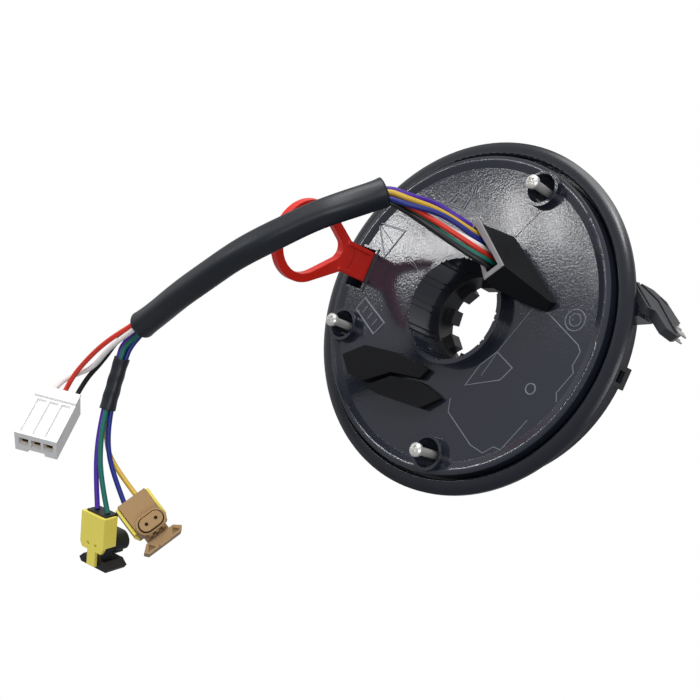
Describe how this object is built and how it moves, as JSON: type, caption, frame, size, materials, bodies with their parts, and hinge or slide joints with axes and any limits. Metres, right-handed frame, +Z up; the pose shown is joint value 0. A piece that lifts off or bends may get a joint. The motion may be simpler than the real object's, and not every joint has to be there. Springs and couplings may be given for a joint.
{
  "type": "steering clock spring",
  "caption": "Round clock spring for a steering column: fixed housing, rotor with open hub, red lock pull, captive screws and sleeved leads with a white plug and two airbag plugs.",
  "frame": {"origin": "on the turning axis, in the plane of the rear seat", "axes": "+Y along the turning axis towards the column, the rotor face looks along -Y, +Z up as fitted in the picture"},
  "size_m": [0.2354, 0.1155, 0.1594],
  "materials": {
    "black_nylon": "satin moulded",
    "black_gloss": "polished moulded",
    "black_matt": "eroded matt",
    "natural_acetal": "smooth moulded",
    "ribbon_film": "laminated film",
    "tin_plate": "tin plated",
    "brass_plate": "pale brass",
    "red_acetal": "satin moulded",
    "zinc_steel": "bright zinc",
    "white_nylon": "smooth moulded",
    "tan_nylon": "smooth moulded",
    "yellow_nylon": "smooth moulded",
    "sleeve_black": "heat shrunk",
    "wire_violet": "smooth insulation",
    "wire_yellow": "smooth insulation",
    "wire_blue": "smooth insulation",
    "wire_white": "smooth insulation",
    "wire_red": "smooth insulation",
    "wire_green": "smooth insulation",
    "wire_black": "smooth insulation"
  },
  "bodies": {
    "stator": {"stator_housing": "black_nylon", "base_cover": "black_nylon", "wear_ring": "natural_acetal", "ribbon_cable": "ribbon_film", "rear_plug_shroud": "black_nylon", "rear_terminals": "tin_plate"},
    "rotor": {"rotor_disc": "black_gloss", "driver_collar": "natural_acetal", "terminal_block": "black_nylon", "wire_exit_hood": "black_matt", "cable_guide_upper": "black_matt", "cable_guide_lower": "black_matt", "white_plug": "white_nylon", "white_contacts": "brass_plate", "airbag_plug_a": "black_nylon", "airbag_plug_b": "tan_nylon", "near_violet": "wire_violet", "near_yellow": "wire_yellow", "near_blue": "wire_blue", "near_white": "wire_white", "near_red": "wire_red", "near_green": "wire_green", "near_black": "wire_black", "mid_violet": "wire_violet", "mid_green": "wire_green", "mid_blue": "wire_blue", "mid_yellow": "wire_yellow", "far_violet": "wire_violet", "far_green": "wire_green", "far_blue": "wire_blue", "far_yellow": "wire_yellow", "far_red": "wire_red", "far_black": "wire_black", "far_white": "wire_white", "main_sleeve": "sleeve_black", "branch_sleeve": "sleeve_black"},
    "lock_pin": {"lock_pull": "red_acetal"},
    "screw_1": {"mount_screw_1": "zinc_steel"},
    "screw_2": {"mount_screw_2": "zinc_steel"},
    "screw_3": {"mount_screw_3": "zinc_steel"},
    "plug_a_slide": {"plug_a_lock": "yellow_nylon"},
    "plug_b_slide": {"plug_b_lock": "yellow_nylon"}
  },
  "joints": [
    {"name": "rotor_turn", "type": "hinge", "parent": "stator", "child": "rotor", "pos_m": [0, 0, 0], "axis": [0, 1, 0], "range_deg": [-1080, 1080]},
    {"name": "lock_pull_out", "type": "slide", "parent": "rotor", "child": "lock_pin", "axis": [0, -1, 0], "range_m": [0, 0.01]},
    {"name": "screw_1_drive", "type": "slide", "parent": "rotor", "child": "screw_1", "axis": [0, 1, 0], "range_m": [0, 0.013]},
    {"name": "screw_2_drive", "type": "slide", "parent": "rotor", "child": "screw_2", "axis": [0, 1, 0], "range_m": [0, 0.013]},
    {"name": "screw_3_drive", "type": "slide", "parent": "rotor", "child": "screw_3", "axis": [0, 1, 0], "range_m": [0, 0.013]},
    {"name": "plug_a_lock_slide", "type": "slide", "parent": "rotor", "child": "plug_a_slide", "axis": [0.3841, -0.3111, 0.8693], "range_m": [0, 0.003]},
    {"name": "plug_b_lock_slide", "type": "slide", "parent": "rotor", "child": "plug_b_slide", "axis": [-0.4161, -0.4721, 0.7772], "range_m": [0, 0.003]}
  ]
}
